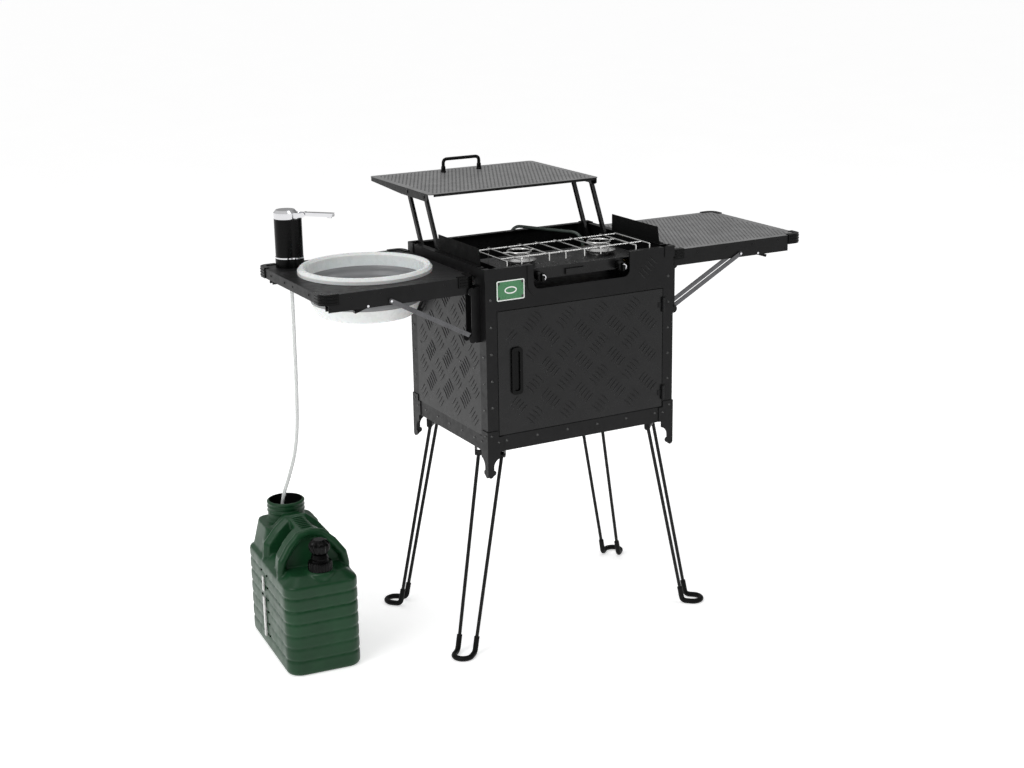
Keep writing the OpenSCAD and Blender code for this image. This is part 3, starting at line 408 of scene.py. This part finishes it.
def make_treads():
    low, high = box_mm("door_panel")
    front = low.y
    handle_low, handle_high = box_mm("door_handle")
    clear = [
        (handle_low.x - 3, handle_low.z - 3, handle_high.x + 3, handle_high.z + 3),
        (high.x - 18, 522, high.x + 5, 562),
        (high.x - 18, 729, high.x + 5, 770),
    ]
    toward = Vector((0, -1, 0))
    tread(
        "door_tread", "door", (low.x + 5, high.x - 5), (low.z + 5, high.z - 5), (-126, 753),
        lambda u, v: at(u, front, v), toward, clear,
    )
    low, high = box_mm("front_fascia")
    cut = (-142, low.z + 18, 142, high.z + 5)
    plate = (-216, low.z, -140, high.z)
    tread(
        "fascia_tread", "cabinet", (low.x + 4, high.x - 4), (low.z + 4, high.z - 4), (172, 840),
        lambda u, v: at(u, -HALF_D, v), toward, (cut, plate),
    )
    low, high = box_mm("cabinet_panels")
    reach = HALF_D - 30
    for name, s in (("left_side_tread", -1), ("right_side_tread", 1)):
        tread(
            name, "cabinet", (-reach + 4, reach - 4), (low.z + 4, high.z - 4), (-126, 753),
            lambda u, v: at(s * HALF_W, u, v), Vector((s, 0, 0)),
            ((-164, 716, -132, 845), (154, 716, 186, 845)),
        )


make_treads()

# ---------- perforated sheets ----------


def hole_cell(bm, x, y, z, px, py, r):
    """One rectangular cell with a round hole, as sixteen quads."""
    q = [(2, 0), (2, 1), (2, 2), (1, 2), (0, 2), (-1, 2), (-2, 2), (-2, 1)]
    q = q + [(-a, -b) for a, b in q]
    outer = [bm.verts.new(at(x + a * px / 4, y + b * py / 4, z)) for a, b in q]
    turns = [2 * math.pi * k / 16 for k in range(16)]
    inner = [bm.verts.new(at(x + r * math.cos(t), y + r * math.sin(t), z)) for t in turns]
    for i in range(16):
        j = (i + 1) % 16
        bm.faces.new((outer[i], outer[j], inner[j], inner[i]))


def half_cell(bm, x_inner, x_outer, y, z, py):
    """A plain half cell at the end of a staggered row."""
    step = (x_outer - x_inner) / 2
    side = [(x_inner, y + k * py / 4) for k in (-2, -1, 0, 1, 2)]
    rest = [(x_inner + step, y + py / 2), (x_outer, y + py / 2), (x_outer, y - py / 2), (x_inner + step, y - py / 2)]
    bm.faces.new([bm.verts.new(at(a, b, z)) for a, b in side + rest])


def perforated_sheet(bm, low, high, z, thick, corner, border, pitch, hole_r):
    """A sheet with round corners, a plain border and staggered rows of real holes."""
    x0, x1, y0, y1 = low[0] + border, high[0] - border, low[1] + border, high[1] - border
    columns, rows = round((x1 - x0) / pitch), round((y1 - y0) / pitch)
    px, py = (x1 - x0) / columns, (y1 - y0) / rows
    for row in range(rows):
        y = y0 + (row + 0.5) * py
        odd = row % 2
        for column in range(columns - odd):
            hole_cell(bm, x0 + (column + 0.5 + odd / 2) * px, y, z, px, py, hole_r)
        if odd:
            half_cell(bm, x0 + px / 2, x0, y, z, py)
            half_cell(bm, x1 - px / 2, x1, y, z, py)
    bmesh.ops.remove_doubles(bm, verts=bm.verts, dist=1e-5)
    # the plain border, as four sides and four round corners
    corners = [(x1, y1), (x0, y1), (x0, y0), (x1, y0)]
    centres = [
        (high[0] - corner, high[1] - corner), (low[0] + corner, high[1] - corner),
        (low[0] + corner, low[1] + corner), (high[0] - corner, low[1] + corner),
    ]
    arcs = [arc(c, corner, 90 * k, 90 * k + 90, 6) for k, c in enumerate(centres)]
    inner = [bm.verts.new(at(x, y, z)) for x, y in corners]
    edge = [[bm.verts.new(at(x, y, z)) for x, y in points] for points in arcs]
    for k in range(4):
        for a, b in zip(edge[k], edge[k][1:]):
            bm.faces.new((inner[k], a, b))
        n = (k + 1) % 4
        bm.faces.new((inner[k], edge[k][-1], edge[n][0], inner[n]))
    made = bmesh.ops.extrude_face_region(bm, geom=bm.faces[:])
    moved = [v for v in made["geom"] if isinstance(v, bmesh.types.BMVert)]
    bmesh.ops.translate(bm, verts=moved, vec=(0, 0, -thick * MM))


SHEET = 1.5
HOLE_PITCH, HOLE_R = 10.2, 2.3


def make_right_top():
    low, high = box_mm("right_shelf_top")
    bm = bmesh.new()
    perforated_sheet(bm, low, high, high.z, SHEET, 18, 16, HOLE_PITCH, HOLE_R)
    place("right_top_sheet", finish_mesh("right_top_sheet", bm), "right_shelf", "shelf_grey", ("right_shelf_top",))
    # Faces that don't face up go back to the black steel, so only the up-facing top carries the painted sheen of
    # shelf_grey.
    second_look("right_top_sheet", LOOKS["steel_black"], lambda face: face.normal.z < 0.7)


def make_rack():
    low, high = box_mm("rack_panel")
    pin_r = 2.95
    half = high.x - SHEET
    bm = bmesh.new()
    perforated_sheet(bm, (-half, low.y), (half, high.y), high.z, SHEET, 10, 13, HOLE_PITCH, HOLE_R)
    for y in (low.y, high.y - SHEET):
        solid_box(bm, (-half + 12, y, high.z - 6), (half - 12, y + SHEET, high.z - SHEET))
    # side flanges, deep at the front and tapering to the back
    drop = [
        (low.y + 10, SHEET), (low.y + 10, 14), (low.y + 16, 18), (low.y + 150, 18),
        (high.y - 10, 10), (high.y - 10, SHEET),
    ]
    pins = [box_mm(node)[1] for node in ("rack_arms_front", "rack_arms_rear")]
    for s in (-1, 1):
        prism(bm, [at(s * half, y, high.z - d) for y, d in drop], Vector((-s * SHEET * MM, 0, 0)))
        for top in pins:
            y, z = top.y - 6, top.z - 6
            tube(bm, [at(s * (half + 0.9), y, z), at(s * (half - 10), y, z)], pin_r * MM, 20)
            tube(bm, [at(s * (half + 1.4), y, z), at(s * half, y, z)], 4.5 * MM, 20)
    place("rack_sheet", finish_mesh("rack_sheet", bm), "rack", "shelf_grey", ("rack_panel",))
    # Faces that don't face up go back to the black steel, so only the up-facing top carries the painted sheen of
    # shelf_grey.
    second_look("rack_sheet", LOOKS["steel_black"], lambda face: face.normal.z < 0.7)


make_right_top()
make_rack()


def bent_path(corners, radius, steps=6):
    """A path through corner points with each corner rounded off."""
    path = [corners[0]]
    for a, b, c in zip(corners, corners[1:], corners[2:]):
        start, end = b + (a - b).normalized() * radius, b + (c - b).normalized() * radius
        for k in range(steps + 1):
            t = k / steps
            path.append(start * (1 - t) ** 2 + b * 2 * t * (1 - t) + end * t**2)
    return path + [corners[-1]]


def make_rack_handle():
    low, high = box_mm("rack_handle")
    y, z0 = (low.y + high.y) / 2, low.z + SHEET
    x, bar = 49, 4.1
    top = high.z - bar
    bm = bmesh.new()
    corners = [at(-x, y, z0 + 4), at(-x, y, top), at(x, y, top), at(x, y, z0 + 4)]
    tube(bm, bent_path(corners, 0.011, 10), bar * MM)
    for s in (-1, 1):
        profile = [(6.5, z0), (6.5, z0 + 3), (5.6, z0 + 4), (5.4, z0 + 13), (4.6, z0 + 15), (0.4, z0 + 15), (0.4, z0)]
        turned(bm, (s * x, y), profile, 32)
    place("rack_grip", finish_mesh("rack_grip", bm), "rack", "plastic_black", ("rack_handle",))


make_rack_handle()

# ---------- foot sleeves ----------


def make_foot(leg, sx, sy):
    """The rubber sleeve round the foot's U bend, as one smooth tube."""
    r, gap, kick, top = 6.2, 20.5, 20, 42
    out = Vector((sx, sy, 0)).normalized()
    across = Vector((-out.y, out.x, 0))
    foot, head = Vector((298 * sx, 167 * sy, 0)), Vector((212 * sx, 141 * sy, 455))
    rise = (head - foot) / head.z
    toe = foot + out * kick + Vector((0, 0, r))
    heel = foot + rise * r
    low = foot + rise * top
    bend = [toe + across * gap * math.sin(t) + out * gap * math.cos(t) for t in
            [math.radians(-90 + 10 * k) for k in range(19)]]
    near = bent_path([low - across * gap, heel - across * gap, bend[0]], 10)
    far = bent_path([bend[-1], heel + across * gap, low + across * gap], 10)
    path = [at(*p) for p in near[:-1] + bend + far[1:]]
    name = f"foot_{leg}"
    bm = bmesh.new()
    tube(bm, path, r * MM, 20)
    place(name, finish_mesh(name, bm), f"leg_{leg}", "rubber_black", (f"leg_{leg}_sleeve",), angle=50)


for leg, sx, sy in (("fl", -1, -1), ("fr", 1, -1), ("rl", -1, 1), ("rr", 1, 1)):
    make_foot(leg, sx, sy)

# ---------- water can ----------

can_low, can_high = box_mm("can_body")
CAN_PLACE = Matrix.Translation(at((can_low.x + can_high.x) / 2, (can_low.y + can_high.y) / 2, 0))
CAN_PLACE = CAN_PLACE @ Matrix.Rotation(math.radians(-5), 4, "Z") @ Matrix.Scale(MM, 4)
CAN_HALF = (86, 163)
CAN_SHOULDER = 226
CAN_TOP = 320
CAN_MOUTH = (0, 110)
GROOVES = [36.5 + 29.4 * k for k in range(6)]


def in_can(x, y, z):
    """A point in the can's own frame, in millimetres."""
    return CAN_PLACE @ Vector((x, y, z))


def can_ring(inset, z, corner=32):
    w, l = CAN_HALF[0] - inset, CAN_HALF[1] - inset
    return [in_can(x, y, z) for x, y in round_rect((-w, -l), (w, l), max(6, corner - inset * 0.5), 8)]


def can_inset(z):
    """How far the wall stands in at a height: the round foot, the grooves and the shoulder."""
    inset = 1.2
    if z < 10:
        inset += 8 * (1 - math.sqrt(max(0, 1 - (1 - z / 10) ** 2)))
    round_over = 24
    over = z - (CAN_SHOULDER - round_over)
    if over > 0:
        inset += round_over * (1 - math.sqrt(max(0, 1 - (over / round_over) ** 2)))
    for groove in GROOVES:
        inset += 3.4 * math.exp(-(((z - groove) / 2.1) ** 2))
    return inset


def can_block(bm, bottom, top):
    """A tapered block between two flat rectangles, each (half width, y0, y1, z, corner)."""
    rings = []
    for w, y0, y1, z, r in (bottom, top):
        rings.append([in_can(x, y, z) for x, y in round_rect((-w, y0), (w, y1), r, 5)])
    loft(bm, rings)


def can_tube(bm, points, radius):
    tube(bm, [in_can(*p) for p in points], radius * MM, 16)


def can_column(bm, centre, profile, segments=48):
    """A capped turned solid in the can's frame, from (radius, height) rings."""
    rings = []
    for r, z in profile:
        rings.append([in_can(x, y, z) for x, y in arc(centre, r, 0, 360 - 360 / segments, segments - 1)])
    loft(bm, rings)


def apply_modifiers(mesh, modifiers):
    """Runs modifiers on a mesh and returns the result as a new mesh."""
    holder = bpy.data.objects.new("working", mesh)
    scene.collection.objects.link(holder)
    for kind, settings in modifiers:
        modifier = holder.modifiers.new(kind, kind)
        for key, value in settings.items():
            setattr(modifier, key, value)
    graph = bpy.context.evaluated_depsgraph_get()
    result = bpy.data.meshes.new_from_object(holder.evaluated_get(graph))
    bpy.data.objects.remove(holder)
    return result


def make_can():
    bm = bmesh.new()
    heights = [0, 1, 2.5, 5, 10] + [12 + 1.6 * k for k in range(124)]
    heights = [z for z in heights if z < CAN_SHOULDER - 0.5] + [CAN_SHOULDER]
    loft(bm, [can_ring(can_inset(z), z) for z in heights])
    # front tower with the raised arch round its niche
    arch = [(-72, -88, 196), (-74, -88, 222), (-70, -86, 246), (-50, -80, 274), (-26, -74, 296)]
    arch = arch + [(0, -72, 301)] + [(-x, y, z) for x, y, z in reversed(arch)]
    loft(bm, [[in_can(x, y + d, z) for x, y, z in arch] for d in (6, 50)])
    can_tube(bm, arch, 10)
    # back block, the second arch and the handle between the two
    can_block(bm, (80, 30, 158, 196, 30), (62, 44, 150, 274, 26))
    rear = [(-74, 34, 200), (-70, 34, 246), (-46, 34, 276), (-22, 34, 298), (22, 34, 298)]
    rear = rear + [(-x, y, z) for x, y, z in reversed(rear[:3])]
    loft(bm, [[in_can(x, y + d, z) for x, y, z in rear] for d in (-14, 34)])
    can_tube(bm, rear, 9)
    can_block(bm, (15, -70, 40, 276, 7), (19, -70, 40, 302, 9))
    can_block(bm, (62, -60, 60, 196, 14), (34, -56, 50, 236, 12))
    can_column(bm, CAN_MOUTH, [(46, 262), (42, 276), (41, CAN_TOP - 1.5), (40, CAN_TOP)])
    for z in (CAN_TOP - 24, CAN_TOP - 14, CAN_TOP - 4):
        can_column(bm, CAN_MOUTH, [(40, z - 3), (44, z - 1.2), (44, z + 1.2), (40, z + 3)])
    # seat of the spigot
    can_column(bm, (6, -122), [(34, 216), (32, 228), (28, 231)])
    rough = finish_mesh("can_rough", bm)
    blended = apply_modifiers(
        rough,
        [
            ("REMESH", {"mode": "VOXEL", "voxel_size": 0.0023}),
            ("SMOOTH", {"factor": 0.5, "iterations": 9}),
        ],
    )
    cutter_mesh = bmesh.new()
    can_column(cutter_mesh, CAN_MOUTH, [(38, 130), (38, CAN_TOP + 20)])
    cutter = bpy.data.objects.new("can_cutter", finish_mesh("can_cutter", cutter_mesh))
    scene.collection.objects.link(cutter)
    hollow = apply_modifiers(
        blended, [("BOOLEAN", {"operation": "DIFFERENCE", "object": cutter, "solver": "EXACT"})]
    )
    bpy.data.objects.remove(cutter)
    place("can_shell", hollow, "cabinet", "can_green", ("can_body",), angle=50)
    middle = in_can(*CAN_MOUTH, 0)
    bore = 38.3 * MM

    def mouth_shade_faces(face):
        out = face.center - middle
        out.z = 0
        return out.length < bore and face.center.z > 0.1

    # The faces inside the can's mouth are painted near-black: painted shade in the deep bore.
    second_look("can_shell", EXTRA["black_and_painted_shade"], mouth_shade_faces)


def make_can_grip():
    """Cross ridges on the top of the can's handle."""
    bm = bmesh.new()
    for k in range(8):
        y = -44 + 11 * k
        can_tube(bm, [(-13, y, 301), (-8, y, 303), (8, y, 303), (13, y, 301)], 1.9)
    place("can_grip_ridges", finish_mesh("can_grip_ridges", bm), "cabinet", "can_green", angle=50)


def make_dimples():
    """Small dark domes at the ends of the can's grooves, beside the gauge: painted shade of the dimples there."""
    bm = bmesh.new()
    for y in (0, 44):
        for groove in GROOVES:
            x = -CAN_HALF[0]
            can_tube(bm, [(x + 5, y, groove), (x + 1.4, y, groove), (x + 0.6, y, groove)], 2.3)
    place("can_dimple_shade", finish_mesh("can_dimple_shade", bm), "cabinet", "plastic_black", look="black_and_painted_shade")


def ribbed_column(centre, profile, ribs, depth, name, body, node):
    """A turned cap with grip ribs round it, in the can's frame."""
    segments = ribs * 6
    bm = bmesh.new()
    rings = []
    for r, z, ribbed in profile:
        ring = []
        for k in range(segments):
            a = 2 * math.pi * k / segments
            reach = r - (depth * (0.5 + 0.5 * math.cos(ribs * a)) if ribbed else 0)
            ring.append(in_can(centre[0] + reach * math.cos(a), centre[1] + reach * math.sin(a), z))
        rings.append(ring)
    loft(bm, rings)
    place(name, finish_mesh(name, bm), body, "plastic_black", (node,), angle=28)


def make_spigot():
    spot = (6, -122)
    collar = [(27, 231, 0), (27, 233, 1), (27, 247, 1), (25, 250, 0), (20, 250.5, 0), (19, 254, 0), (20, 258, 0),
              (17, 266, 0), (12, 270, 0), (5, 270.2, 0), (5, 288, 0)]
    ribbed_column(spot, collar, 26, 1.4, "spigot_collar", "cabinet", "can_spigot")
    knob = [(6, 270.6, 0), (19, 270.8, 0), (22, 274, 1), (24, 284, 1), (23, 290, 1), (19, 296, 1), (12, 300, 0), (3, 300.3, 0)]
    ribbed_column(spot, knob, 12, 3.2, "spigot_turn_knob", "can_spigot_knob", "can_spigot_knob")


make_can()
make_can_grip()
make_dimples()
make_spigot()

# ---------- basin ----------


def make_basin_wall():
    """The soft folding wall, as a corrugated band."""
    low, high = box_mm("basin_sleeve")
    centre = ((low.x + high.x) / 2, (low.y + high.y) / 2)
    top_r = (high.x - low.x) / 2
    bottom_r = top_r - 11
    steps = 24
    outer = []
    for k in range(steps + 1):
        t = k / steps
        ripple = 1.3 * math.sin(t * math.pi * 6)
        outer.append((bottom_r + (top_r - bottom_r) * t + ripple * math.sin(math.pi * t), low.z + (high.z - low.z) * t))
    inner = [(r - 2.4, z) for r, z in reversed(outer)]
    bm = bmesh.new()
    turned(bm, centre, outer + inner, 128)
    wall = place("basin_wall", finish_mesh("basin_wall", bm), "left_shelf", "basin_grey", ("basin_sleeve",), angle=60)
    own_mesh(wall)


make_basin_wall()

# ---------- small trim ----------


def make_plate_border():
    """The name plate's white border, with a plain ring in the middle."""
    low, high = box_mm("name_plate")
    front = low.y
    lift = Vector((0, -0.5 * MM, 0))
    bm = bmesh.new()
    outer = round_rect((low.x, low.z), (high.x, high.z), 3.5)
    inner = round_rect((low.x + 2.2, low.z + 2.2), (high.x - 2.2, high.z - 2.2), 2.2)
    middle = ((low.x + high.x) / 2, (low.z + high.z) / 2)
    ring_out = [(middle[0] + 15 * a, middle[1] + 8 * b) for a, b in arc((0, 0), 1, 0, 345, 23)]
    ring_in = [(middle[0] + 12.5 * a, middle[1] + 5.5 * b) for a, b in arc((0, 0), 1, 0, 345, 23)]
    for a, b in ((outer, inner), (ring_out, ring_in)):
        layers = [[at(x, front, z) for x, z in a], [at(x, front, z) + lift for x, z in a]]
        layers += [[at(x, front, z) + lift for x, z in b], [at(x, front, z) for x, z in b]]
        loft(bm, layers + layers[:1], capped=False)
    bmesh.ops.remove_doubles(bm, verts=bm.verts, dist=1e-7)
    place("plate_border", finish_mesh("plate_border", bm), "cabinet", "plate_green", look="plate_white")


def make_guard_ribs():
    """Three fine ribs round each corner guard of the shelves."""
    for side, body in (("left", "left_shelf"), ("right", "right_shelf")):
        low, high = box_mm(f"{side}_shelf_guards")
        corner, grip = 20.5, 36
        bm = bmesh.new()
        for cx, sx in ((low.x, 1), (high.x, -1)):
            for cy, sy in ((low.y, 1), (high.y, -1)):
                for z in (847, 853.5, 860):
                    bend = arc((corner, corner), corner, 180, 270, 8)
                    line = [(0, grip)] + bend + [(grip, 0)]
                    tube(bm, [at(cx + sx * a, cy + sy * b, z) for a, b in line], 1.1 * MM, 8)
        name = f"{side}_guard_ribs"
        place(name, finish_mesh(name, bm), body, "plastic_black", angle=60)


def make_knob_tips():
    """The bright pointer on each stove knob."""
    for name, s in (("knob_left", -1), ("knob_right", 1)):
        low, high = box_mm(name)
        x, z = (low.x + high.x) / 2, (low.z + high.z) / 2
        bm = bmesh.new()
        path = [at(x + 6 * math.sin(t), low.y - 0.4, z + 6 * math.cos(t)) for t in
                [math.radians(-20 + 14 * k) for k in range(13)]]
        tube(bm, path, 1.2 * MM, 10)
        place(f"{name}_tip", finish_mesh(f"{name}_tip", bm), name, "chrome", angle=60)


def make_bracket_pins():
    """Bright pin ends on the outer faces of the shelf brackets."""
    for side, s in (("left", -1), ("right", 1)):
        for body, spots, offset in (
            (f"{side}_braces", ((448, 836),), 13.8),
            (f"{side}_shelf", ((500, 831),), 9.8),
        ):
            bm = bmesh.new()
            for bracket in (-148, 170):
                for x, z in spots:
                    for e in (-1, 1):
                        y = bracket + e * offset
                        inner = at(s * x, y - e * 0.4, z)
                        tube(bm, [inner, at(s * x, y + e * 0.5, z), at(s * x, y + e * 0.9, z)], 2.6 * MM, 14)
            name = f"{body}_pin_ends"
            place(name, finish_mesh(name, bm), body, "chrome", angle=40)


make_plate_border()
make_guard_ribs()
make_knob_tips()
make_bracket_pins()

# ---------- floor and light ----------


def make_stage():
    floor_mesh = bpy.data.meshes.new("floor")
    half = 60
    floor_mesh.from_pydata([(-half, -half, 0), (half, -half, 0), (half, half, 0), (-half, half, 0)], [], [(0, 1, 2, 3)])
    paper = node_material(
        "floor", (0.93, 0.93, 0.93), 0.85, mottle=0.01, patch=2, bump=0, Specular_IOR_Level=0.1,
        Emission_Color=(1, 1, 1, 1), Emission_Strength=0.5,
    )
    floor_mesh.materials.append(paper)
    floor = bpy.data.objects.new("floor", floor_mesh)
    scene.collection.objects.link(floor)
    scene.world = studio_world()
    scene.view_settings.view_transform = "Standard"


def studio_world():
    """A pale room that is brightest overhead and dim in front."""
    world = bpy.data.worlds.new("studio")
    world.use_nodes = True
    nodes, links = world.node_tree.nodes, world.node_tree.links
    coords = nodes.new("ShaderNodeTexCoord")
    tilt = nodes.new("ShaderNodeVectorMath")
    tilt.operation = "DOT_PRODUCT"
    tilt.inputs[1].default_value = (-0.35, 0.3, 0.9)
    links.new(coords.outputs["Generated"], tilt.inputs[0])
    ramp = nodes.new("ShaderNodeValToRGB")
    ramp.color_ramp.elements[0].position = 0.0
    ramp.color_ramp.elements[0].color = (0.1, 0.1, 0.1, 1)
    ramp.color_ramp.elements[1].position = 0.75
    ramp.color_ramp.elements[1].color = (0.8, 0.8, 0.8, 1)
    links.new(tilt.outputs["Value"], ramp.inputs["Fac"])
    links.new(ramp.outputs["Color"], nodes["Background"].inputs["Color"])
    nodes["Background"].inputs["Strength"].default_value = 0.85
    return world


def area_light(name, position, aim, size, power):
    light = bpy.data.objects.new(name, bpy.data.lights.new(name, "AREA"))
    light.data.shape = "RECTANGLE"
    light.data.size, light.data.size_y = size
    light.data.energy = power
    light.location = position
    light.rotation_euler = (Vector(aim) - Vector(position)).to_track_quat("-Z", "Y").to_euler()
    scene.collection.objects.link(light)


make_stage()
area_light("key", (-2.8, -1.2, 2.4), (0, 0, 0.6), (1.4, 1.4), 34)
area_light("glint", (2.0, -2.2, 2.6), (0, -0.3, 0.7), (0.7, 0.7), 14)
area_light("overhead", (0.2, 0.3, 3.4), (0, 0, 0.5), (2.4, 2.4), 30)
